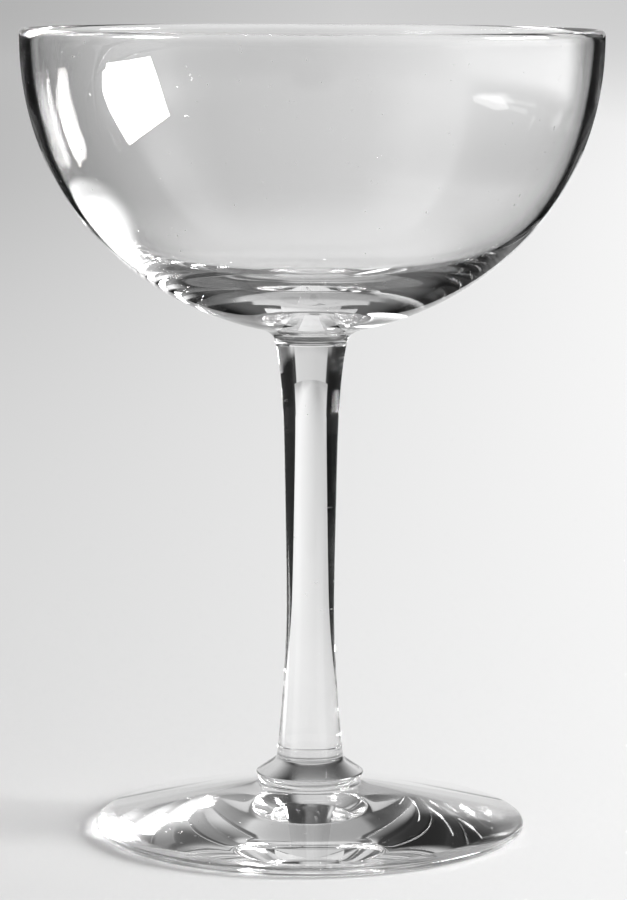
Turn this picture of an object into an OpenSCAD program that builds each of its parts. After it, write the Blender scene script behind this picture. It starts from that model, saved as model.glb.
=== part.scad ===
// Stemmed sherbet glass in clear crystal: a deep round bowl, a waisted stem, a small collar
// and a low conical foot, four pieces of glass fused end to end.
// Millimetres, +Z up, origin on the table under the middle of the foot.

/* [Bowl] */
// Diameter across the rim
rim_d = 96; // [80:0.5:112]
// Height of the bowl from its seam with the stem to the top of the rim
bowl_h = 51.7; // [42:0.1:60]
// Height of the short neck under the round of the bowl
bowl_neck_h = 1.4; // [0.8:0.1:3]
// Reach of the flare that blends the neck into the round of the bowl
neck_flare = 3.2; // [1.5:0.1:6]
// Fullness of the bowl's side (2 is an ellipse, higher stands straighter under the rim)
side_power = 2.15; // [2.05:0.05:3]
// Fullness of the bowl's bottom (2 is an ellipse, lower is more pointed)
floor_power = 1.85; // [1.75:0.05:2.6]
// Glass thickness at the rim
rim_wall = 1.8; // [1.2:0.1:3]
// Glass thickness at the middle of the bottom
floor_wall = 7.4; // [6.2:0.1:12]
// Fullness of the side of the hollow inside
hollow_side_power = 1.9; // [1.6:0.05:2]
// Fullness of the bottom of the hollow (higher is flatter in the middle)
hollow_floor_power = 3.2; // [2.2:0.05:3.4]

/* [Stem] */
// Length of the stem between its two seams
stem_len = 69.8; // [45:0.1:110]
// Diameter at the seam with the bowl
stem_top_d = 11.9; // [9.5:0.1:16]
// Diameter that the even taper reaches at the bowl, without the flare
stem_taper_d = 9.7; // [8:0.1:11]
// Diameter at the waist, the thinnest place
stem_waist_d = 8; // [6:0.1:9]
// Diameter at the seam with the collar
stem_foot_d = 11.2; // [9:0.1:12]
// Height of the waist above the seam with the collar
stem_waist_up = 26.3; // [15:0.1:35]
// Length of the flare under the bowl
stem_flare_len = 22; // [6:0.5:30]

/* [Collar] */
// Diameter across the collar's rounded edge
collar_d = 18; // [17.2:0.1:24]
// Height of the collar between its two seams
collar_h = 4.1; // [3:0.1:8]
// Diameter of the collar's seat on the foot
collar_seat_d = 17; // [14:0.1:17.6]
// Height of the middle of the edge above the seat
collar_edge_up = 1.3; // [0.7:0.1:1.6]
// Radius of the rounded edge
collar_edge_r = 0.45; // [0.2:0.05:0.6]
// Reach of the small fillet between the collar's top and the stem
collar_fillet = 0.7; // [0.3:0.1:1.2]

/* [Foot] */
// Diameter of the foot
foot_d = 72; // [56:0.5:90]
// Height of the foot at the collar's seat
foot_h = 7.8; // [5:0.1:14]
// Thickness of the foot's rounded edge
foot_edge_t = 1.3; // [0.8:0.1:3]
// Height of the fillet under the collar
foot_fillet_h = 0.5; // [0.2:0.1:1]
// Reach of the fillet out from the collar's seat
foot_fillet_reach = 1.7; // [0.8:0.1:4]
// Depth of the hollow under the foot
foot_hollow = 1.2; // [0:0.1:2.5]
// Width of the flat ring that the glass stands on
rest_w = 3; // [1:0.1:8]

/* [Seams] */
// Depth of the fine groove round each fused seam
seam_groove = 0.15; // [0.05:0.05:0.3]

/* [Hidden] */
$fn = 128;

// Points along the long curves, and along fillets and rounded edges
curve_steps = 44;
round_steps = 12;

// How the stem widens: gently above the waist, quickly into the bowl, evenly into the collar
taper_power = 1.2;
flare_power = 3.5;
spread_power = 1.85;

// Heights of the seams, and of the middle of the rim's rounding
foot_seam_z = foot_h;
collar_seam_z = foot_seam_z + collar_h;
bowl_seam_z = collar_seam_z + stem_len;
rim_mid_z = bowl_seam_z + bowl_h - rim_wall / 2;

// The bowl's outer round, and the hollow inside it
bowl_r = rim_d / 2;
bowl_depth = rim_mid_z - bowl_seam_z - bowl_neck_h;
hollow_r = bowl_r - rim_wall;
hollow_depth = bowl_depth - floor_wall;

// Radii of the three seams
bowl_seam_r = stem_top_d / 2;
collar_seam_r = stem_foot_d / 2;
foot_seam_r = collar_seat_d / 2;

glass = [0.90, 0.93, 0.95, 0.45];

// Arc about a centre, from one angle to another
function arc(centre, radius, from, to) =
    [for (i = [0 : round_steps])
        let (angle = from + (to - from) * i / round_steps)
        centre + radius * [cos(angle), sin(angle)]];

// Curve from start to end that leaves and arrives along the lines to the corner
function blend(start, corner, end) =
    [for (i = [0 : round_steps])
        let (t = i / round_steps)
        (1 - t) * (1 - t) * start + 2 * t * (1 - t) * corner + t * t * end];

// Points of the bowl's outside and of its hollow: angle 0 is at the rim, 90 at the middle of the bottom
function outer_point(angle) =
    [bowl_r * pow(cos(angle), 2 / floor_power),
        rim_mid_z - bowl_depth * pow(sin(angle), 2 / side_power)];
function hollow_point(angle) =
    [hollow_r * pow(cos(angle), 2 / hollow_floor_power),
        rim_mid_z - hollow_depth * pow(sin(angle), 2 / hollow_side_power)];

// Slope, height over radius, of the outside
function outer_slope(angle) =
    bowl_depth * floor_power / (bowl_r * side_power)
        * pow(sin(angle), 2 / side_power - 2) * pow(cos(angle), 2 - 2 / floor_power);

// Radius of the stem at a height above its lower seam
stem_upper = stem_len - stem_waist_up;
function stem_radius(up) =
    up < stem_waist_up
        ? stem_waist_d / 2 + (stem_foot_d - stem_waist_d) / 2
            * pow(1 - up / stem_waist_up, spread_power)
        : stem_waist_d / 2
            + (stem_taper_d - stem_waist_d) / 2 * pow((up - stem_waist_up) / stem_upper, taper_power)
            + (stem_top_d - stem_taper_d) / 2
                * pow(max(0, 1 - (stem_len - up) / stem_flare_len), flare_power);

// How fast the stem's radius grows with height as it reaches the bowl
stem_top_slope = (stem_taper_d - stem_waist_d) / 2 * taper_power / stem_upper
    + (stem_top_d - stem_taper_d) / 2 * flare_power / stem_flare_len;

// How fast the stem's radius shrinks with height as it leaves the collar
stem_foot_slope = (stem_foot_d - stem_waist_d) / 2 * spread_power / stem_waist_up;

module bowl() {
    // The flare starts on the bowl's round and runs down into the stem's own slope
    flare_angle = acos(pow((bowl_seam_r + neck_flare) / bowl_r, floor_power / 2));
    flare_start = outer_point(flare_angle);
    flare_slope = outer_slope(flare_angle);
    corner_up = (flare_start.y - bowl_seam_z + (bowl_seam_r - flare_start.x) * flare_slope)
        / (1 - stem_top_slope * flare_slope);
    flare_corner = [bowl_seam_r + stem_top_slope * corner_up, bowl_seam_z + corner_up];
    flare_end = [bowl_seam_r + stem_top_slope * seam_groove, bowl_seam_z + seam_groove];
    color(glass) rotate_extrude() polygon(concat(
        [for (i = [0 : curve_steps]) hollow_point(90 - 90 * i / curve_steps)],
        arc([bowl_r - rim_wall / 2, rim_mid_z], rim_wall / 2, 180, 0),
        [for (i = [0 : curve_steps]) outer_point(flare_angle * i / curve_steps)],
        blend(flare_start, flare_corner, flare_end),
        [[bowl_seam_r - seam_groove, bowl_seam_z], [0, bowl_seam_z]]));
}

module stem() {
    run = stem_len - 2 * seam_groove;
    side = [for (i = [0 : curve_steps])
        let (up = seam_groove + run * i / curve_steps)
        [stem_radius(up), collar_seam_z + up]];
    color(glass) rotate_extrude() polygon(concat(
        [[0, collar_seam_z], [collar_seam_r - seam_groove, collar_seam_z]],
        side,
        [[bowl_seam_r - seam_groove, bowl_seam_z], [0, bowl_seam_z]]));
}

module collar() {
    edge_centre = [collar_d / 2 - collar_edge_r, foot_seam_z + collar_edge_up];
    // The top slopes from the edge up to the foot of the fillet beside the stem
    fillet_out = [collar_seam_r + collar_fillet, collar_seam_z - collar_fillet];
    top_angle = atan2(fillet_out.y - edge_centre.y, edge_centre.x - fillet_out.x);
    edge_top = edge_centre + collar_edge_r * [sin(top_angle), cos(top_angle)];
    slope = (fillet_out.y - edge_top.y) / (edge_top.x - fillet_out.x);
    // The fillet leaves along the top and ends along the side of the stem
    corner_x = collar_seam_r + stem_foot_slope * collar_fillet;
    fillet_corner = [corner_x, fillet_out.y + slope * (fillet_out.x - corner_x)];
    fillet_end = [collar_seam_r + stem_foot_slope * seam_groove, collar_seam_z - seam_groove];
    color(glass) rotate_extrude() polygon(concat(
        [[0, foot_seam_z], [foot_seam_r - seam_groove, foot_seam_z],
            [foot_seam_r, foot_seam_z + seam_groove]],
        arc(edge_centre, collar_edge_r, -60, 90 - top_angle),
        blend(fillet_out, fillet_corner, fillet_end),
        [[collar_seam_r - seam_groove, collar_seam_z], [0, collar_seam_z]]));
}

module foot() {
    edge_r = foot_edge_t / 2;
    edge_centre = [foot_d / 2 - edge_r, edge_r];
    rest_in = edge_centre.x - rest_w;
    // The cone is the straight line from under the collar that just touches the rounded edge
    corner = [foot_seam_r, foot_seam_z - foot_fillet_h];
    reach = edge_centre - corner;
    cone_angle = atan2(-reach.y, reach.x) - asin(edge_r / norm(reach));
    fillet_out = corner + foot_fillet_reach * [cos(cone_angle), -sin(cone_angle)];
    fillet_end = [foot_seam_r, foot_seam_z - seam_groove];
    hollow = [for (i = [0 : curve_steps])
        let (r = rest_in * i / curve_steps)
        [r, foot_hollow * (1 - pow(r / rest_in, 2))]];
    color(glass) rotate_extrude() polygon(concat(
        hollow,
        arc(edge_centre, edge_r, -90, 90 - cone_angle),
        blend(fillet_out, corner, fillet_end),
        [[foot_seam_r - seam_groove, foot_seam_z], [0, foot_seam_z]]));
}

bowl();
stem();
collar();
foot();
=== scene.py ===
import math

import bmesh
import bpy
from bpy.props import FloatProperty, FloatVectorProperty, PointerProperty
from bpy.types import Operator, Panel, PropertyGroup
from mathutils import Matrix, Vector


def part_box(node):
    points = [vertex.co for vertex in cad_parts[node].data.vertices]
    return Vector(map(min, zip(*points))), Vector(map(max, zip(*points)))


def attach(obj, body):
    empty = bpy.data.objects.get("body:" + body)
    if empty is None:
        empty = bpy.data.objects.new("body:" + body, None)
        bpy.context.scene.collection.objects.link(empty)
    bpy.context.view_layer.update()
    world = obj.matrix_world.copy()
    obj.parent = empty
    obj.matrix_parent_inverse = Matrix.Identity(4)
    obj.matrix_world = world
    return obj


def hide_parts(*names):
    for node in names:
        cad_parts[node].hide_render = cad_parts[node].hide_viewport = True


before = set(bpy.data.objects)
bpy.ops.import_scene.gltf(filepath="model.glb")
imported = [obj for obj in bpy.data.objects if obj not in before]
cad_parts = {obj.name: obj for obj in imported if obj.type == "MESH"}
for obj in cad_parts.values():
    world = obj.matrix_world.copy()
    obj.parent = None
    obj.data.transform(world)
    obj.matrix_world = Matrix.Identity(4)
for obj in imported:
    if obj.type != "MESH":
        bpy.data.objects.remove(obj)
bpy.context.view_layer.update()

bl_info = {
    "name": "Sherbet Glass",
    "version": (1, 0, 0),
    "blender": (4, 5, 0),
    "location": "3D View > Sidebar > Sherbet Glass",
    "description": "Blows a stemmed crystal sherbet glass and sets it on a pale studio table",
    "category": "Add Mesh",
}

# The heights at which the four pieces of glass are fused, from the frame
FOOT_SEAM_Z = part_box("collar")[0].z
COLLAR_SEAM_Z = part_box("stem")[0].z
BOWL_SEAM_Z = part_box("bowl")[0].z
RIM_TOP_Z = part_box("bowl")[1].z
STEM_LENGTH = BOWL_SEAM_Z - COLLAR_SEAM_Z

# Points along a long curve and along a fillet or rounded edge, and faces round the glass
CURVE_STEPS = 72
FILLET_STEPS = 12
ROUND_STEPS = 256
MERGE_DISTANCE = 1e-7
SHARP_ANGLE = math.radians(28)


class GlassShape(PropertyGroup):
    """Sizes of the glass, in metres"""

    rim_diameter: FloatProperty(
        name="Rim Diameter", description="Across the rim", default=0.096, unit="LENGTH")
    rim_wall: FloatProperty(
        name="Rim Wall", description="Thickness of the glass at the rim", default=0.0018, unit="LENGTH")
    floor_wall: FloatProperty(
        name="Floor Wall", description="Thickness of the glass at the middle of the bowl's bottom",
        default=0.0074, unit="LENGTH")
    neck_height: FloatProperty(
        name="Neck Height", description="Short neck under the round of the bowl",
        default=0.0014, unit="LENGTH")
    neck_flare: FloatProperty(
        name="Neck Flare", description="Reach of the flare between the neck and the round of the bowl",
        default=0.0032, unit="LENGTH")
    side_power: FloatProperty(
        name="Side Fullness", description="Higher stands straighter under the rim; 2 is an ellipse",
        default=2.15)
    floor_power: FloatProperty(
        name="Floor Fullness", description="Lower is more pointed at the bottom; 2 is an ellipse",
        default=1.85)
    hollow_side_power: FloatProperty(
        name="Hollow Side Fullness", description="Fullness of the side of the hollow inside", default=1.9)
    hollow_floor_power: FloatProperty(
        name="Hollow Floor Fullness", description="Higher is flatter in the middle of the hollow's bottom",
        default=3.2)
    stem_top: FloatProperty(
        name="Stem Top", description="Diameter of the stem at the bowl", default=0.0119, unit="LENGTH")
    stem_taper: FloatProperty(
        name="Stem Taper", description="Diameter that the even taper reaches at the bowl",
        default=0.0097, unit="LENGTH")
    stem_waist: FloatProperty(
        name="Stem Waist", description="Diameter at the thinnest place", default=0.008, unit="LENGTH")
    stem_foot: FloatProperty(
        name="Stem Foot", description="Diameter of the stem at the collar", default=0.0112, unit="LENGTH")
    waist_up: FloatProperty(
        name="Waist Height", description="Height of the waist above the collar",
        default=0.0263, unit="LENGTH")
    flare_length: FloatProperty(
        name="Flare Length", description="Length of the flare under the bowl",
        default=0.022, unit="LENGTH")
    collar_diameter: FloatProperty(
        name="Collar Diameter", description="Across the collar's rounded edge",
        default=0.018, unit="LENGTH")
    collar_seat: FloatProperty(
        name="Collar Seat", description="Diameter of the collar where it sits on the foot",
        default=0.017, unit="LENGTH")
    collar_edge_up: FloatProperty(
        name="Collar Edge Height", description="Middle of the rounded edge above the seat",
        default=0.0013, unit="LENGTH")
    collar_edge: FloatProperty(
        name="Collar Edge", description="Radius of the rounded edge", default=0.00045, unit="LENGTH")
    collar_fillet: FloatProperty(
        name="Collar Fillet", description="Small fillet between the collar and the stem",
        default=0.0007, unit="LENGTH")
    foot_diameter: FloatProperty(
        name="Foot Diameter", description="Across the foot", default=0.072, unit="LENGTH")
    foot_edge: FloatProperty(
        name="Foot Edge", description="Thickness of the foot's rounded edge",
        default=0.0013, unit="LENGTH")
    foot_fillet_height: FloatProperty(
        name="Foot Fillet Height", description="Height of the fillet under the collar",
        default=0.0005, unit="LENGTH")
    foot_fillet_reach: FloatProperty(
        name="Foot Fillet Reach", description="Reach of that fillet out along the foot",
        default=0.0017, unit="LENGTH")
    foot_hollow: FloatProperty(
        name="Foot Hollow", description="Depth of the hollow under the foot",
        default=0.0012, unit="LENGTH")
    rest_width: FloatProperty(
        name="Rest Width", description="Width of the flat ring that the glass stands on",
        default=0.003, unit="LENGTH")
    seam_groove: FloatProperty(
        name="Seam Groove", description="Depth of the fine groove round each fused seam",
        default=0.00015, unit="LENGTH")
    taper_power: FloatProperty(
        name="Taper Power", description="How gently the stem widens above its waist", default=1.2)
    flare_power: FloatProperty(
        name="Flare Power", description="How quickly the stem widens into the bowl", default=3.5)
    spread_power: FloatProperty(
        name="Spread Power", description="How evenly the stem widens into the collar", default=1.85)


class GlassFinish(PropertyGroup):
    """Look of the crystal"""

    tint: FloatVectorProperty(
        name="Tint", description="Colour of the clear crystal", subtype="COLOR", size=4,
        default=(0.99, 0.99, 0.99, 1.0), min=0.0, max=1.0)
    ior: FloatProperty(
        name="Refraction", description="Index of refraction of the crystal", default=1.52)
    ripple_height: FloatProperty(
        name="Ripple Height", description="Height of the faint ripples left by fire polishing",
        default=0.00002, unit="LENGTH")
    smudge: FloatProperty(
        name="Smudge", description="Roughness where the glass was last touched", default=0.04)
    dust: FloatProperty(
        name="Dust", description="Roughness of the specks of dust", default=0.35)
    scuff: FloatProperty(
        name="Scuff", description="Roughness of the ring that the glass stands on", default=0.15)


class StudioSetup(PropertyGroup):
    """Table, lamps and camera"""

    camera_distance: FloatProperty(
        name="Camera Distance", description="Along the table from the stem to the camera",
        default=0.59858, unit="LENGTH")
    camera_height: FloatProperty(
        name="Camera Height", description="Above the table", default=0.14435, unit="LENGTH")
    camera_side: FloatProperty(
        name="Camera Side", description="Offset of the camera to the right of the stem",
        default=0.00043, unit="LENGTH")
    camera_tilt: FloatProperty(
        name="Camera Tilt", description="Downward tilt of the camera",
        default=math.radians(7.674), unit="ROTATION")
    camera_roll: FloatProperty(
        name="Camera Roll", description="Slight roll of the camera",
        default=math.radians(0.2), unit="ROTATION")
    lens: FloatProperty(name="Lens", description="Focal length in millimetres", default=145.13)
    table_grey: FloatProperty(
        name="Table Grey", description="How pale the table is under the glass", default=0.68,
        min=0.0, max=1.0)
    # The far grey and the slants are painted light in the table's colour
    painted_light_far_grey: FloatProperty(
        name="Far Grey", description="How pale the table is far behind the glass", default=0.94,
        min=0.0, max=1.0)
    painted_light_slant: FloatProperty(
        name="Table Slant", description="How much paler the table is on the right than in the middle",
        default=0.18, min=0.0, max=1.0)
    painted_light_far_slant: FloatProperty(
        name="Far Slant", description="How much paler it is on the right far behind the glass",
        default=0.36, min=0.0, max=1.0)
    room_light: FloatProperty(
        name="Room Light", description="Even light from all round", default=0.79)
    window_light: FloatProperty(
        name="Window Light", description="Power of the light from the window on the table, in watts",
        default=240.0)


def shape():
    return bpy.context.scene.glass_shape


def finish():
    return bpy.context.scene.glass_finish


def studio():
    return bpy.context.scene.glass_studio


# Profiles, as (radius, height) points

def arc(centre, radius, start, end):
    """Arc about a centre, from one angle to another"""
    step = (end - start) / FILLET_STEPS
    angles = [start + step * i for i in range(FILLET_STEPS + 1)]
    return [centre + radius * Vector((math.cos(a), math.sin(a))) for a in angles]


def blend(start, corner, end):
    """Curve that leaves and arrives along the lines to the corner"""
    points = []
    for i in range(FILLET_STEPS + 1):
        t = i / FILLET_STEPS
        points.append((1 - t) ** 2 * start + 2 * t * (1 - t) * corner + t ** 2 * end)
    return points


def bowl_curve(start, end, radius, depth, middle, side_power, floor_power):
    """Rounded bowl curve, at the rim for angle 0 and at the middle of the bottom for a right angle"""
    points = []
    for i in range(CURVE_STEPS + 1):
        angle = start + (end - start) * i / CURVE_STEPS
        across = max(0.0, math.cos(angle)) ** (2 / floor_power)
        down = max(0.0, math.sin(angle)) ** (2 / side_power)
        points.append(Vector((radius * across, middle - depth * down)))
    return points


def stem_radius(up):
    """Radius of the stem at a height above the collar"""
    s = shape()
    if up < s.waist_up:
        spread = (1 - up / s.waist_up) ** s.spread_power
        return (s.stem_waist + (s.stem_foot - s.stem_waist) * spread) / 2
    taper = ((up - s.waist_up) / (STEM_LENGTH - s.waist_up)) ** s.taper_power
    flare = max(0.0, 1 - (STEM_LENGTH - up) / s.flare_length) ** s.flare_power
    return (s.stem_waist + (s.stem_taper - s.stem_waist) * taper
            + (s.stem_top - s.stem_taper) * flare) / 2


def stem_top_slope():
    """How fast the stem's radius grows with height as it reaches the bowl"""
    s = shape()
    taper = (s.stem_taper - s.stem_waist) * s.taper_power / (STEM_LENGTH - s.waist_up)
    return (taper + (s.stem_top - s.stem_taper) * s.flare_power / s.flare_length) / 2


def stem_foot_slope():
    """How fast the stem's radius shrinks with height as it leaves the collar"""
    s = shape()
    return (s.stem_foot - s.stem_waist) / 2 * s.spread_power / s.waist_up


def bowl_profile():
    s = shape()
    radius = s.rim_diameter / 2
    seam = s.stem_top / 2
    middle = RIM_TOP_Z - s.rim_wall / 2
    depth = middle - BOWL_SEAM_Z - s.neck_height
    hollow = bowl_curve(math.pi / 2, 0, radius - s.rim_wall, depth - s.floor_wall, middle,
                        s.hollow_side_power, s.hollow_floor_power)
    rim = arc(Vector((radius - s.rim_wall / 2, middle)), s.rim_wall / 2, math.pi, 0)
    # The flare starts on the bowl's round and runs down into the stem's own slope
    flare_angle = math.acos(((seam + s.neck_flare) / radius) ** (s.floor_power / 2))
    outside = bowl_curve(0, flare_angle, radius, depth, middle, s.side_power, s.floor_power)
    start = outside[-1]
    slope = (depth * s.floor_power / (radius * s.side_power)
             * math.sin(flare_angle) ** (2 / s.side_power - 2)
             * math.cos(flare_angle) ** (2 - 2 / s.floor_power))
    lean = stem_top_slope()
    corner_up = (start.y - BOWL_SEAM_Z + (seam - start.x) * slope) / (1 - lean * slope)
    corner = Vector((seam + lean * corner_up, BOWL_SEAM_Z + corner_up))
    end = Vector((seam + lean * s.seam_groove, BOWL_SEAM_Z + s.seam_groove))
    seat = [Vector((seam - s.seam_groove, BOWL_SEAM_Z)), Vector((0, BOWL_SEAM_Z))]
    return hollow + rim[1:-1] + outside + blend(start, corner, end)[1:] + seat


def stem_profile():
    s = shape()
    run = STEM_LENGTH - 2 * s.seam_groove
    heights = [s.seam_groove + run * i / CURVE_STEPS for i in range(CURVE_STEPS + 1)]
    side = [Vector((stem_radius(up), COLLAR_SEAM_Z + up)) for up in heights]
    low = [Vector((0, COLLAR_SEAM_Z)), Vector((s.stem_foot / 2 - s.seam_groove, COLLAR_SEAM_Z))]
    high = [Vector((s.stem_top / 2 - s.seam_groove, BOWL_SEAM_Z)), Vector((0, BOWL_SEAM_Z))]
    return low + side + high


def collar_profile():
    s = shape()
    seat = s.collar_seat / 2
    top = s.stem_foot / 2
    edge = Vector((s.collar_diameter / 2 - s.collar_edge, FOOT_SEAM_Z + s.collar_edge_up))
    # The top slopes from the edge up to the small fillet beside the stem
    fillet_out = Vector((top + s.collar_fillet, COLLAR_SEAM_Z - s.collar_fillet))
    angle = math.atan2(fillet_out.y - edge.y, edge.x - fillet_out.x)
    edge_top = edge + s.collar_edge * Vector((math.sin(angle), math.cos(angle)))
    slope = (fillet_out.y - edge_top.y) / (edge_top.x - fillet_out.x)
    corner_x = top + stem_foot_slope() * s.collar_fillet
    corner = Vector((corner_x, fillet_out.y + slope * (fillet_out.x - corner_x)))
    end = Vector((top + stem_foot_slope() * s.seam_groove, COLLAR_SEAM_Z - s.seam_groove))
    low = [Vector((0, FOOT_SEAM_Z)), Vector((seat - s.seam_groove, FOOT_SEAM_Z)),
           Vector((seat, FOOT_SEAM_Z + s.seam_groove))]
    high = [Vector((top - s.seam_groove, COLLAR_SEAM_Z)), Vector((0, COLLAR_SEAM_Z))]
    rounded = arc(edge, s.collar_edge, -math.pi / 3, math.pi / 2 - angle)
    return low + rounded + blend(fillet_out, corner, end) + high


def foot_profile():
    s = shape()
    seat = s.collar_seat / 2
    edge_r = s.foot_edge / 2
    edge = Vector((s.foot_diameter / 2 - edge_r, edge_r))
    rest_in = edge.x - s.rest_width
    hollow = []
    for i in range(CURVE_STEPS + 1):
        across = i / CURVE_STEPS
        hollow.append(Vector((rest_in * across, s.foot_hollow * (1 - across ** 2))))
    # The cone is the straight line from under the collar that just touches the rounded edge
    corner = Vector((seat, FOOT_SEAM_Z - s.foot_fillet_height))
    reach = edge - corner
    angle = math.atan2(-reach.y, reach.x) - math.asin(edge_r / reach.length)
    fillet_out = corner + s.foot_fillet_reach * Vector((math.cos(angle), -math.sin(angle)))
    end = Vector((seat, FOOT_SEAM_Z - s.seam_groove))
    high = [Vector((seat - s.seam_groove, FOOT_SEAM_Z)), Vector((0, FOOT_SEAM_Z))]
    rounded = arc(edge, edge_r, -math.pi / 2, math.pi / 2 - angle)
    return hollow + rounded + blend(fillet_out, corner, end) + high


# Materials

def new_material(name):
    material = bpy.data.materials.get(name)
    if material:
        return material, None
    material = bpy.data.materials.new(name)
    material.use_nodes = True
    return material, material.node_tree


def link(tree, source, output, target, socket):
    tree.links.new(source.outputs[output], target.inputs[socket])


def math_node(tree, operation, *values):
    """Math node from numbers and sockets, as its output"""
    node = tree.nodes.new("ShaderNodeMath")
    node.operation = operation
    for i, value in enumerate(values):
        if isinstance(value, (int, float)):
            node.inputs[i].default_value = value
        else:
            tree.links.new(value, node.inputs[i])
    return node.outputs["Value"]


def axes_of(tree, space):
    """X, Y and Z of a place on an object, or of a direction in the world"""
    coords = tree.nodes.new("ShaderNodeTexCoord")
    axes = tree.nodes.new("ShaderNodeSeparateXYZ")
    link(tree, coords, space, axes, "Vector")
    return axes.outputs


def smooth_step(tree, value, start, end, low=0.0, high=1.0):
    """Smooth change from one number to another while a value goes from start to end"""
    node = tree.nodes.new("ShaderNodeMapRange")
    node.interpolation_type = "SMOOTHSTEP"
    tree.links.new(value, node.inputs["Value"])
    for name, number in (("From Min", start), ("From Max", end), ("To Min", low), ("To Max", high)):
        node.inputs[name].default_value = number
    return node.outputs["Result"]


def noise(tree, scale, detail, stretch=(1.0, 1.0, 1.0)):
    """Noise over the glass, from 0 to 1"""
    coords = tree.nodes.new("ShaderNodeTexCoord")
    mapping = tree.nodes.new("ShaderNodeMapping")
    mapping.inputs["Scale"].default_value = stretch
    link(tree, coords, "Object", mapping, "Vector")
    node = tree.nodes.new("ShaderNodeTexNoise")
    node.inputs["Scale"].default_value = scale
    node.inputs["Detail"].default_value = detail
    link(tree, mapping, "Vector", node, "Vector")
    return node.outputs["Fac"]


# Ripples to the metre, and how they are squeezed along the glass
RIPPLE_SCALE = 60.0
RIPPLE_DETAIL = 0.0
RIPPLE_STRETCH = (1.0, 1.0, 2.5)
# Marks on the glass: how many to the metre, their detail, and the stretch of noise that makes them
SMUDGES = (55.0, 3.0, 0.56, 0.72)
DUST = (900.0, 1.0, 0.77, 0.80)
SCUFFS = (1500.0, 4.0, 0.35, 0.60)
# Height up to which the standing ring is scuffed
SCUFF_HEIGHT = 0.00004


def marks(tree, kind, roughness):
    """Roughness of scattered marks, none between them"""
    scale, detail, start, end = kind
    return smooth_step(tree, noise(tree, scale, detail), start, end, 0.0, roughness)


def crystal():
    """Clear crystal with faint fire-polish ripples, smudges, dust and a scuffed standing ring"""
    material, tree = new_material("clear_crystal_glass")
    if tree is None:
        return material
    look = finish()
    shader = tree.nodes["Principled BSDF"]
    shader.inputs["Base Color"].default_value = look.tint
    shader.inputs["IOR"].default_value = look.ior
    shader.inputs["Transmission Weight"].default_value = 1.0

    # Faint ripples, drawn out round the glass as it was turned in the flame
    ripples = noise(tree, RIPPLE_SCALE, RIPPLE_DETAIL, RIPPLE_STRETCH)
    bump = tree.nodes.new("ShaderNodeBump")
    bump.inputs["Distance"].default_value = look.ripple_height
    tree.links.new(ripples, bump.inputs["Height"])
    link(tree, bump, "Normal", shader, "Normal")

    # Smudges where it was held, specks of dust, and the scuffed ring that it stands on
    height = axes_of(tree, "Object")["Z"]
    standing = smooth_step(tree, height, SCUFF_HEIGHT / 2, SCUFF_HEIGHT, 1.0, 0.0)
    scuffed = math_node(tree, "MULTIPLY", marks(tree, SCUFFS, look.scuff), standing)
    touched = math_node(tree, "MAXIMUM", marks(tree, SMUDGES, look.smudge), marks(tree, DUST, look.dust))
    tree.links.new(math_node(tree, "MAXIMUM", touched, scuffed), shader.inputs["Roughness"])
    return material


def fused():
    """Inside a fused seam, where glass meets the same glass and nothing bends the light"""
    material, tree = new_material("fused_seam")
    if tree is None:
        return material
    shader = tree.nodes["Principled BSDF"]
    shader.inputs["Base Color"].default_value = (1.0, 1.0, 1.0, 1.0)
    shader.inputs["Transmission Weight"].default_value = 1.0
    shader.inputs["Roughness"].default_value = 0.0
    shader.inputs["Alpha"].default_value = 0.0
    return material


# Pieces

def new_object(name, bm):
    mesh = bpy.data.meshes.new(name)
    bm.to_mesh(mesh)
    bm.free()
    obj = bpy.data.objects.new(name, mesh)
    bpy.context.scene.collection.objects.link(obj)
    return obj


def turn_glass(name, node, profile, seams):
    """Spin a profile into a closed piece of glass, with its fused faces index-matched"""
    bm = bmesh.new()
    points = [bm.verts.new((p.x, 0.0, p.y)) for p in profile]
    edges = [bm.edges.new(pair) for pair in zip(points, points[1:])]
    bmesh.ops.spin(bm, geom=points + edges, cent=(0, 0, 0), axis=(0, 0, 1), dvec=(0, 0, 0),
                   angle=2 * math.pi, steps=ROUND_STEPS, use_merge=True)
    bmesh.ops.remove_doubles(bm, verts=bm.verts, dist=MERGE_DISTANCE)
    bmesh.ops.recalc_face_normals(bm, faces=bm.faces)
    for face in bm.faces:
        face.smooth = True
        height = face.calc_center_median().z
        on_seam = any(abs(height - seam) < MERGE_DISTANCE for seam in seams)
        face.material_index = 1 if on_seam else 0
    for edge in bm.edges:
        edge.smooth = edge.calc_face_angle(math.pi) < SHARP_ANGLE
    piece = new_object(name, bm)
    piece.data.materials.append(crystal())
    piece.data.materials.append(fused())
    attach(piece, "root")
    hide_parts(node)


class GLASS_OT_bowl(Operator):
    """Blow the bowl, thin at the rim and thick at the bottom"""

    bl_idname = "sherbet_glass.bowl"
    bl_label = "Bowl"

    def execute(self, context):
        turn_glass("bowl_glass", "bowl", bowl_profile(), [BOWL_SEAM_Z])
        return {"FINISHED"}


class GLASS_OT_stem(Operator):
    """Draw the solid stem, thinnest below its middle"""

    bl_idname = "sherbet_glass.stem"
    bl_label = "Stem"

    def execute(self, context):
        turn_glass("stem_glass", "stem", stem_profile(), [COLLAR_SEAM_Z, BOWL_SEAM_Z])
        return {"FINISHED"}


class GLASS_OT_collar(Operator):
    """Set the small collar between the stem and the foot"""

    bl_idname = "sherbet_glass.collar"
    bl_label = "Collar"

    def execute(self, context):
        turn_glass("collar_glass", "collar", collar_profile(), [FOOT_SEAM_Z, COLLAR_SEAM_Z])
        return {"FINISHED"}


class GLASS_OT_foot(Operator):
    """Spread the low conical foot"""

    bl_idname = "sherbet_glass.foot"
    bl_label = "Foot"

    def execute(self, context):
        turn_glass("foot_glass", "foot", foot_profile(), [FOOT_SEAM_Z])
        return {"FINISHED"}


# Stage: helpers

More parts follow.
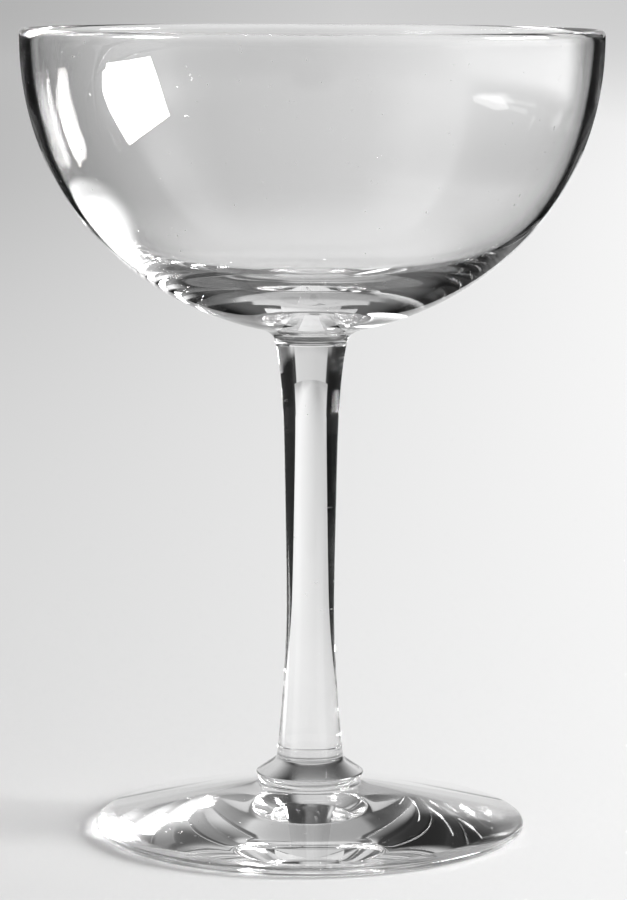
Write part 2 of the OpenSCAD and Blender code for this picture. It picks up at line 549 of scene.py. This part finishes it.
# The colour sockets of a mix node, which share their names with its other kinds
MIX_FIRST = 6
MIX_SECOND = 7
MIX_RESULT = 2


def seen_by(obj, camera=False, diffuse=False, glossy=False, transmission=False, shadow=False):
    """Let only some kinds of rays see an object"""
    obj.visible_camera = camera
    obj.visible_diffuse = diffuse
    obj.visible_glossy = glossy
    obj.visible_transmission = transmission
    obj.visible_shadow = shadow
    obj.visible_volume_scatter = False


def bearing(angle, rise=0.0):
    """Direction at an angle in degrees to the right of straight behind the glass, and a rise"""
    turn = math.radians(angle)
    lift = math.radians(rise)
    return Vector((math.sin(turn) * math.cos(lift), math.cos(turn) * math.cos(lift), math.sin(lift)))


def blend_colour(tree, factor, first, second):
    mix = tree.nodes.new("ShaderNodeMix")
    mix.data_type = "RGBA"
    tree.links.new(factor, mix.inputs["Factor"])
    tree.links.new(first, mix.inputs[MIX_FIRST])
    tree.links.new(second, mix.inputs[MIX_SECOND])
    return mix.outputs[MIX_RESULT]


def blend_shaders(tree, factor, first, second, output):
    """Show one shader where a factor is 0, and another where it is 1"""
    mix = tree.nodes.new("ShaderNodeMixShader")
    tree.links.new(factor, mix.inputs[0])
    tree.links.new(first, mix.inputs[1])
    tree.links.new(second, mix.inputs[2])
    link(tree, mix, "Shader", output, "Surface")


def none_yet(tree, kind):
    """1 while a path of light has had no bounce of a kind, and 0 after that"""
    path = tree.nodes.new("ShaderNodeLightPath")
    return math_node(tree, "LESS_THAN", path.outputs[kind], 1.0)


def round_about(tree, axes):
    """Bearing as a share of a full turn, with straight behind the glass at one half"""
    turn = math_node(tree, "ARCTAN2", axes["X"], axes["Y"])
    return math_node(tree, "MULTIPLY_ADD", turn, 0.5 / math.pi, 0.5)


def away_from(tree, axes, middle=(0.0, 0.0), unit=(1.0, 1.0)):
    """Distance along the table from a place on it, in units that may differ across and behind"""
    squares = []
    for name, centre, size in zip("XY", middle, unit):
        offset = math_node(tree, "SUBTRACT", axes[name], centre)
        squares.append(math_node(tree, "POWER", math_node(tree, "DIVIDE", offset, size), 2.0))
    return math_node(tree, "SQRT", math_node(tree, "ADD", *squares))


# Stage: what the glass shows round it

# As (bearing, brightness): the table's sides near and far, painted as glow that only the glass shows, then
# the room at eye level and higher up
TABLE_NEAR = (
    (-180, 0.40), (-141, 0.50), (-125, 1.20), (-112, 1.00), (-105, 0.25), (-95, 0.10), (-85, 0.03),
    (-27, 0.004), (21, 0.004), (80, 0.01), (105, 0.10), (114, 0.40), (120, 1.20), (140, 1.20),
    (158, 0.45), (180, 0.40))
TABLE_FAR = (
    (-180, 0.02), (-155, 0.10), (-125, 0.60), (-105, 0.40), (-85, 0.05), (-27, 0.006), (21, 0.006),
    (49, 0.02), (56, 0.50), (62, 1.60), (115, 1.70), (130, 0.90), (160, 0.30), (180, 0.02))
ROOM_LEVEL = (
    (-180, 0.05), (-160, 0.30), (-120, 0.30), (-105, 0.20), (-87, 0.15), (-80, 0.01), (-20.8, 0.004),
    (-19.8, 0.56), (0, 0.66), (19.8, 0.70), (20.8, 0.004), (50, 0.015), (55, 0.15), (62, 0.50),
    (76, 0.80), (81, 1.70), (111, 1.80), (125, 0.90), (160, 0.40), (180, 0.05))
ROOM_HIGH = (
    (-180, 0.15), (-120, 0.30), (-105, 0.12), (-95, 0.04), (-36, 0.03), (-28, 0.08), (-24, 0.35),
    (-12, 0.38), (0, 0.42), (14, 0.52), (25, 0.72), (29, 0.30), (34, 0.16), (50, 0.22), (68, 0.50),
    (76, 1.20), (86, 1.50), (112, 1.50), (122, 0.60), (140, 0.30), (180, 0.15))
ROOM_UPPER = (
    (-180, 0.15), (-110, 0.12), (-95, 0.05), (-36, 0.04), (-24, 0.35), (-8, 0.70), (6, 0.65),
    (11, 0.06), (30, 0.06), (45, 0.15), (82, 0.35), (88, 0.90), (102, 0.70), (112, 0.15), (180, 0.15))
ROOM_TOP = ((-180, 0.06), (180, 0.06))
# The rises, in degrees, over which each row of the room passes into the next
ROOM_RISES = ((ROOM_HIGH, 4, 7), (ROOM_UPPER, 18, 27), (ROOM_TOP, 38, 52))
# The brightness that a ramp's full white stands for
ROOM_GAIN = 2.0


def ramp(tree, around, stops):
    node = tree.nodes.new("ShaderNodeValToRGB")
    elements = node.color_ramp.elements
    while len(elements) < len(stops):
        elements.new(0.5)
    for element, (angle, value) in zip(elements, stops):
        element.position = angle / 360 + 0.5
        element.color = (value / ROOM_GAIN, value / ROOM_GAIN, value / ROOM_GAIN, 1.0)
    tree.links.new(around, node.inputs["Fac"])
    return node.outputs["Color"]


def room_world():
    """Pale light for the table, and a room with light and dark sides for the glass"""
    world = bpy.data.worlds.new("pale_room")
    bpy.context.scene.world = world
    world.use_nodes = True
    tree = world.node_tree
    tree.nodes.clear()
    output = tree.nodes.new("ShaderNodeOutputWorld")
    pale = tree.nodes.new("ShaderNodeBackground")
    pale.inputs["Strength"].default_value = studio().room_light
    room = tree.nodes.new("ShaderNodeBackground")
    room.inputs["Strength"].default_value = ROOM_GAIN
    axes = axes_of(tree, "Generated")
    around = round_about(tree, axes)
    walls = ramp(tree, around, ROOM_LEVEL)
    for stops, start, end in ROOM_RISES:
        rise = smooth_step(tree, axes["Z"], math.sin(math.radians(start)), math.sin(math.radians(end)))
        walls = blend_colour(tree, rise, walls, ramp(tree, around, stops))
    tree.links.new(walls, room.inputs["Color"])
    path = tree.nodes.new("ShaderNodeLightPath").outputs
    in_glass = math_node(tree, "MAXIMUM", path["Is Glossy Ray"], path["Is Transmission Ray"])
    seen = math_node(tree, "MULTIPLY", in_glass, none_yet(tree, "Diffuse Depth"))
    blend_shaders(tree, seen, pale.outputs["Background"], room.outputs["Background"], output)


# Stage: table

# The table, and just above it the same table as the glass shows it, both under the foot
TABLE_RADIUS = 16.0
TABLE_STEPS = 96
TABLE_DROP = 0.0004
SEEN_DROP = 0.0003
# The painted light in the table's colour, from the darker left to the paler right: its width at the
# camera, how fast that widens and from how far off, then its reach and where it fades, in those widths
SLANT_WIDTH = 0.03
SLANT_SPREAD = 0.0864
SLANT_START = 0.5
SLANT_REACH = 1.9
SLANT_FADE = (1.0, 3.0)
# How far behind the glass the painted slant and the grey change to the far, paler painted ones, and the
# palest grey
SLANT_CHANGE = (0.0, 2.0)
GREY_CHANGE = (0.8, 5.0)
PALEST_GREY = 0.97
# The lit strip of table behind the glass, mirrored in it: how fast it widens near and far, and where
# the one passes into the other
STRIP_SPREAD = 0.30
STRIP_SPREAD_FAR = 0.18
STRIP_CHANGE = (0.90, 1.20)
# Where the table that is pale all round the foot ends in reflections
NEAR_CHANGE = (0.05, 0.12)
# Where the near sides of the table pass into the far ones
SIDE_CHANGE = (0.50, 0.75)
# Where the soft edge of a place on the table begins, as a share of its size
SOFT_EDGE = 0.7
# A patch of window light on the table, to the left behind the glass: middle, half its size, brightness
PATCH_MIDDLE = (-0.155, 0.185)
PATCH_HALF = (0.07, 0.16)
PATCH_LIGHT = 3.4
# A painted dark reflection: a dark place on the table as the glass mirrors it, in front of the glass
PAINTED_DARK_MIDDLE = (0.0, -0.60)
PAINTED_DARK_HALF = (0.10, 0.17)
# The table under the foot, its soft edge, and the shade under the foot's back
FOOT_RADIUS = 0.038
FOOT_EDGE = 0.002
FOOT_LIGHT = 0.75
SHADE_MIDDLE = (-0.006, 0.029)
SHADE_HALF = (0.011, 0.009)
SHADE_END = 1.1
SHADE = 0.02


def paper_grey_with_painted_light(tree, axes):
    """Pale grey with painted light from the right: a little darker on the left, paler on the right and
    paler far behind
    """
    setup = studio()
    from_camera = math_node(tree, "ADD", axes["Y"], setup.camera_distance)
    width = math_node(tree, "MULTIPLY_ADD", math_node(tree, "MAXIMUM", from_camera, SLANT_START),
                      SLANT_SPREAD, SLANT_WIDTH)
    side = math_node(tree, "DIVIDE", axes["X"], width)
    fade = smooth_step(tree, math_node(tree, "ABSOLUTE", side), *SLANT_FADE, 1.0, 0.0)
    across = smooth_step(tree, side, -SLANT_REACH, SLANT_REACH, -1.0, 1.0)
    # Painted light: paler on the right, where the window is, and paler far behind
    slant = smooth_step(tree, axes["Y"], *SLANT_CHANGE, setup.painted_light_slant, setup.painted_light_far_slant)
    share = math_node(tree, "MULTIPLY_ADD", math_node(tree, "MULTIPLY", across, fade), slant, 1.0)
    paler = smooth_step(tree, axes["Y"], *GREY_CHANGE, 0.0, setup.painted_light_far_grey - setup.table_grey)
    grey = math_node(tree, "MULTIPLY_ADD", paler, fade, setup.table_grey)
    return math_node(tree, "MINIMUM", math_node(tree, "MULTIPLY", share, grey), PALEST_GREY)


def table_material():
    """Pale matt table, whose colour holds painted light"""
    material, tree = new_material("pale_table")
    if tree is None:
        return material
    tree.nodes.remove(tree.nodes["Principled BSDF"])
    paper = tree.nodes.new("ShaderNodeBsdfDiffuse")
    tree.links.new(paper_grey_with_painted_light(tree, axes_of(tree, "Object")), paper.inputs["Color"])
    link(tree, paper, "BSDF", tree.nodes["Material Output"], "Surface")
    return material


def table_sides(tree, axes):
    """Painted brightness of the table beside the strip as the glass shows it, near and far, with its
    painted dark place and painted patch of window light
    """
    around = round_about(tree, axes)
    sides = blend_colour(tree, smooth_step(tree, away_from(tree, axes), *SIDE_CHANGE),
                         ramp(tree, around, TABLE_NEAR), ramp(tree, around, TABLE_FAR))
    # Painted dark reflection in front of the glass
    dark = smooth_step(tree, away_from(tree, axes, PAINTED_DARK_MIDDLE, PAINTED_DARK_HALF), SOFT_EDGE, 1.0)
    patch = smooth_step(tree, away_from(tree, axes, PATCH_MIDDLE, PATCH_HALF), SOFT_EDGE, 1.0,
                        PATCH_LIGHT / ROOM_GAIN, 0.0)
    return math_node(tree, "MAXIMUM", math_node(tree, "MULTIPLY", sides, dark), patch)


def table_in_glass_material():
    """Table as the glass shows it: pale straight through, and mirrored with a lit strip and other sides
    painted as glow
    """
    material, tree = new_material("table_in_glass")
    if tree is None:
        return material
    material.cycles.emission_sampling = "NONE"
    tree.nodes.remove(tree.nodes["Principled BSDF"])
    axes = axes_of(tree, "Object")
    away = away_from(tree, axes)
    straight = none_yet(tree, "Glossy Depth")
    outside = smooth_step(tree, away, FOOT_RADIUS - FOOT_EDGE, FOOT_RADIUS + FOOT_EDGE)

    # The paper: all of it straight through the glass; mirrored, the strip and all round the foot
    spread = smooth_step(tree, axes["Y"], *STRIP_CHANGE, STRIP_SPREAD, STRIP_SPREAD_FAR)
    in_strip = math_node(tree, "LESS_THAN", math_node(tree, "ABSOLUTE", axes["X"]),
                         math_node(tree, "MULTIPLY", axes["Y"], spread))
    near = math_node(tree, "MAXIMUM", straight, smooth_step(tree, away, *NEAR_CHANGE, 1.0, 0.0))
    is_paper = math_node(tree, "MULTIPLY", math_node(tree, "MAXIMUM", in_strip, near), outside)
    paper = tree.nodes.new("ShaderNodeBsdfDiffuse")
    tree.links.new(paper_grey_with_painted_light(tree, axes), paper.inputs["Color"])

    # The rest glows: the sides, and the table under the foot with its shade
    shade = smooth_step(tree, away_from(tree, axes, SHADE_MIDDLE, SHADE_HALF),
                        SOFT_EDGE, SHADE_END, SHADE, 1.0)
    under = math_node(tree, "MULTIPLY", math_node(tree, "MAXIMUM", shade, straight),
                      FOOT_LIGHT / ROOM_GAIN)
    inside = math_node(tree, "MULTIPLY", under, math_node(tree, "SUBTRACT", 1.0, outside))
    lit = math_node(tree, "MULTIPLY_ADD", table_sides(tree, axes), outside, inside)
    glowing = tree.nodes.new("ShaderNodeEmission")
    tree.links.new(math_node(tree, "MULTIPLY", lit, ROOM_GAIN), glowing.inputs["Strength"])
    blend_shaders(tree, is_paper, glowing.outputs["Emission"], paper.outputs["BSDF"],
                  tree.nodes["Material Output"])
    return material


def lay_table(name, height, material, **seen):
    bm = bmesh.new()
    bmesh.ops.create_circle(bm, cap_ends=True, segments=TABLE_STEPS, radius=TABLE_RADIUS,
                            matrix=Matrix.Translation((0, 0, height)))
    table = new_object(name, bm)
    table.data.materials.append(material)
    seen_by(table, **seen)


# Stage: cards and lamp

# How near to glass a card must be to show in it, unless it is one of those round the stem
FAR_REACH = 10.0
# Dark cards round the stem: radius, lower and upper end, and how near the stem must be to show them
LOW_CARD = (0.017, 0.016, 0.0705, 0.0160)
HIGH_CARD = (0.009, 0.0690, 0.0772, 0.0072)
CARD_STEPS = 24
# The bearings that they cover, from the bright middle outwards, and their glow on each side
LOW_RIGHT = (15.2, 60.0)
LOW_LEFT = (-15.2, -62.0)
HIGH_RIGHT = (5.8, 46.0)
HIGH_LEFT = (-5.8, -46.0)
RIGHT_GLOW = 0.006
LEFT_GLOW = 0.002
# Degrees over which the low cards' lower edge falls away from the middle, and by which the high cards lean
CARD_FALL = 14.0
CARD_LEAN = 1.8
# Corners of the windows, as bearings and rises from the middle of the bowl
BOWL_MIDDLE_Z = 0.115
WINDOW = (
    (78.3, 7.8), (91.9, 8.5), (104.3, 8.5), (107.2, 16.2), (108.5, 24.8), (94.6, 26.3), (78.8, 26.6),
    (75.8, 20.1), (75.1, 13.8))
LEFT_WINDOW = ((-102.4, 17.9), (-86.4, 15.5), (-78.2, 16.9), (-85.9, 18.9), (-100.5, 19.2))
LEFT_SILL = ((-79.0, 16.2), (-58.2, 13.4), (-56.3, 14.3), (-78.0, 17.1))
# How far off the windows are, and how brightly they glow in the glass and in its light on the table
WINDOW_AWAY = 1.1
WINDOW_GLOW = 40.0
WINDOW_CAUSTIC = 35.0
LEFT_AWAY = 1.5
LEFT_WINDOW_GLOW = 4.5
LEFT_SILL_GLOW = 1.5
# The lamp: bearing, rise, how far off it is, and its size
LAMP_BEARING = 94.0
LAMP_RISE = 17.0
LAMP_AWAY = 3.5
LAMP_SIZE = (2.0, 1.27)


def glow(name, strength, caustic, reach):
    """Material of a card that glows in glass within its reach, and otherwise in light on the table"""
    material, tree = new_material(name)
    if tree is None:
        return material
    material.cycles.emission_sampling = "NONE"
    tree.nodes.remove(tree.nodes["Principled BSDF"])
    emission = tree.nodes.new("ShaderNodeEmission")
    power = math_node(tree, "MULTIPLY_ADD", none_yet(tree, "Diffuse Depth"), strength - caustic, caustic)
    tree.links.new(power, emission.inputs["Strength"])
    clear = tree.nodes.new("ShaderNodeBsdfTransparent")
    path = tree.nodes.new("ShaderNodeLightPath")
    within = math_node(tree, "LESS_THAN", path.outputs["Ray Length"], reach)
    blend_shaders(tree, within, clear.outputs["BSDF"], emission.outputs["Emission"],
                  tree.nodes["Material Output"])
    return material


def show_in_glass(name, bm, strength, caustic=0.0, reach=FAR_REACH):
    """Finish a card that only the glass shows"""
    card = new_object(name, bm)
    card.data.materials.append(glow(name, strength, caustic, reach))
    seen_by(card, glossy=True, transmission=True)


def stem_card(name, place, sides, strength, falls):
    """Curved card round the stem, under the bowl, which only the stem shows"""
    radius, low, high, reach = place
    near, far = sides
    lean = 0.0 if falls else math.copysign(CARD_LEAN, near)
    bm = bmesh.new()
    ends = [bm.verts.new(bearing(near + lean) * radius + Vector((0, 0, low))),
            bm.verts.new(bearing(near) * radius + Vector((0, 0, high)))]
    edge = bm.edges.new(ends)
    bmesh.ops.spin(bm, geom=ends + [edge], cent=(0, 0, 0), axis=(0, 0, 1), dvec=(0, 0, 0),
                   angle=math.radians(near - far), steps=CARD_STEPS)
    for vert in bm.verts:
        if falls and vert.co.z < (low + high) / 2:
            angle = abs(math.degrees(math.atan2(vert.co.x, vert.co.y)))
            vert.co.z = low + (high - low) * math.exp(-(angle - abs(near)) / CARD_FALL)
    show_in_glass(name, bm, strength, reach=reach)


def far_card(name, corners, away, strength, caustic=0.0):
    """Bright card some way off"""
    bm = bmesh.new()
    verts = []
    for angle, rise in corners:
        out = bearing(angle, rise) * away / math.cos(math.radians(rise))
        verts.append(bm.verts.new(out + Vector((0, 0, BOWL_MIDDLE_Z))))
    bmesh.ops.contextual_create(bm, geom=verts)
    show_in_glass(name, bm, strength, caustic)


def hang_lamp():
    """Soft lamp that faces the glass and lights only the table"""
    light = bpy.data.lights.new("window_lamp", "AREA")
    light.shape = "RECTANGLE"
    light.size, light.size_y = LAMP_SIZE
    light.energy = studio().window_light
    lamp = bpy.data.objects.new("window_lamp", light)
    way = bearing(LAMP_BEARING, LAMP_RISE)
    lamp.location = Vector((0, 0, BOWL_SEAM_Z)) + LAMP_AWAY * way
    lamp.rotation_euler = (-way).to_track_quat("-Z", "Y").to_euler()
    seen_by(lamp, diffuse=True)
    bpy.context.scene.collection.objects.link(lamp)


# Stage: camera and light paths

# The camera's sensor in millimetres, and how far it sees
SENSOR_WIDTH = 36.0
VIEW_END = 100.0
# Bounces through the glass, and the limit and blur of the light that it throws on the table
GLASS_BOUNCES = 64
CAUSTIC_LIMIT = 40.0
CAUSTIC_BLUR = 0.1


def set_camera(scene):
    setup = studio()
    lens = bpy.data.cameras.new("photo_camera")
    lens.lens = setup.lens
    lens.sensor_width = SENSOR_WIDTH
    lens.clip_end = VIEW_END
    camera = bpy.data.objects.new("photo_camera", lens)
    camera.matrix_world = (
        Matrix.Translation((setup.camera_side, -setup.camera_distance, setup.camera_height))
        @ Matrix.Rotation(math.pi / 2 - setup.camera_tilt, 4, "X")
        @ Matrix.Rotation(setup.camera_roll, 4, "Z"))
    scene.collection.objects.link(camera)
    scene.camera = camera


def set_light_paths(scene):
    scene.view_settings.view_transform = "Standard"
    scene.cycles.max_bounces = GLASS_BOUNCES
    scene.cycles.glossy_bounces = GLASS_BOUNCES
    scene.cycles.transmission_bounces = GLASS_BOUNCES
    scene.cycles.sample_clamp_indirect = CAUSTIC_LIMIT
    scene.cycles.blur_glossy = CAUSTIC_BLUR


class GLASS_OT_stage(Operator):
    """Lay the pale table, hang the lamp and cards, and set the camera"""

    bl_idname = "sherbet_glass.stage"
    bl_label = "Stage"

    def execute(self, context):
        set_light_paths(context.scene)
        lay_table("table", -TABLE_DROP, table_material(), camera=True, diffuse=True, shadow=True)
        lay_table("table_in_glass", -SEEN_DROP, table_in_glass_material(), glossy=True, transmission=True)
        stem_card("dark_card_right", LOW_CARD, LOW_RIGHT, RIGHT_GLOW, falls=True)
        stem_card("dark_card_left", LOW_CARD, LOW_LEFT, LEFT_GLOW, falls=True)
        stem_card("high_card_right", HIGH_CARD, HIGH_RIGHT, RIGHT_GLOW, falls=False)
        stem_card("high_card_left", HIGH_CARD, HIGH_LEFT, LEFT_GLOW, falls=False)
        far_card("window", WINDOW, WINDOW_AWAY, WINDOW_GLOW, WINDOW_CAUSTIC)
        far_card("left_window", LEFT_WINDOW, LEFT_AWAY, LEFT_WINDOW_GLOW)
        far_card("left_sill", LEFT_SILL, LEFT_AWAY, LEFT_SILL_GLOW)
        hang_lamp()
        room_world()
        set_camera(context.scene)
        return {"FINISHED"}


class GLASS_PT_sidebar(Panel):
    bl_label = "Sherbet Glass"
    bl_idname = "GLASS_PT_sidebar"
    bl_space_type = "VIEW_3D"
    bl_region_type = "UI"
    bl_category = "Sherbet Glass"

    def draw(self, context):
        for operator in OPERATORS:
            self.layout.operator(operator.bl_idname)


OPERATORS = (GLASS_OT_bowl, GLASS_OT_stem, GLASS_OT_collar, GLASS_OT_foot, GLASS_OT_stage)
CLASSES = (GlassShape, GlassFinish, StudioSetup) + OPERATORS + (GLASS_PT_sidebar,)


def register():
    for cls in CLASSES:
        bpy.utils.register_class(cls)
    bpy.types.Scene.glass_shape = PointerProperty(type=GlassShape)
    bpy.types.Scene.glass_finish = PointerProperty(type=GlassFinish)
    bpy.types.Scene.glass_studio = PointerProperty(type=StudioSetup)


def unregister():
    del bpy.types.Scene.glass_studio
    del bpy.types.Scene.glass_finish
    del bpy.types.Scene.glass_shape
    for cls in reversed(CLASSES):
        bpy.utils.unregister_class(cls)


def main():
    register()
    bpy.ops.sherbet_glass.stage()
    bpy.ops.sherbet_glass.foot()
    bpy.ops.sherbet_glass.collar()
    bpy.ops.sherbet_glass.stem()
    bpy.ops.sherbet_glass.bowl()


if __name__ == "__main__":
    main()
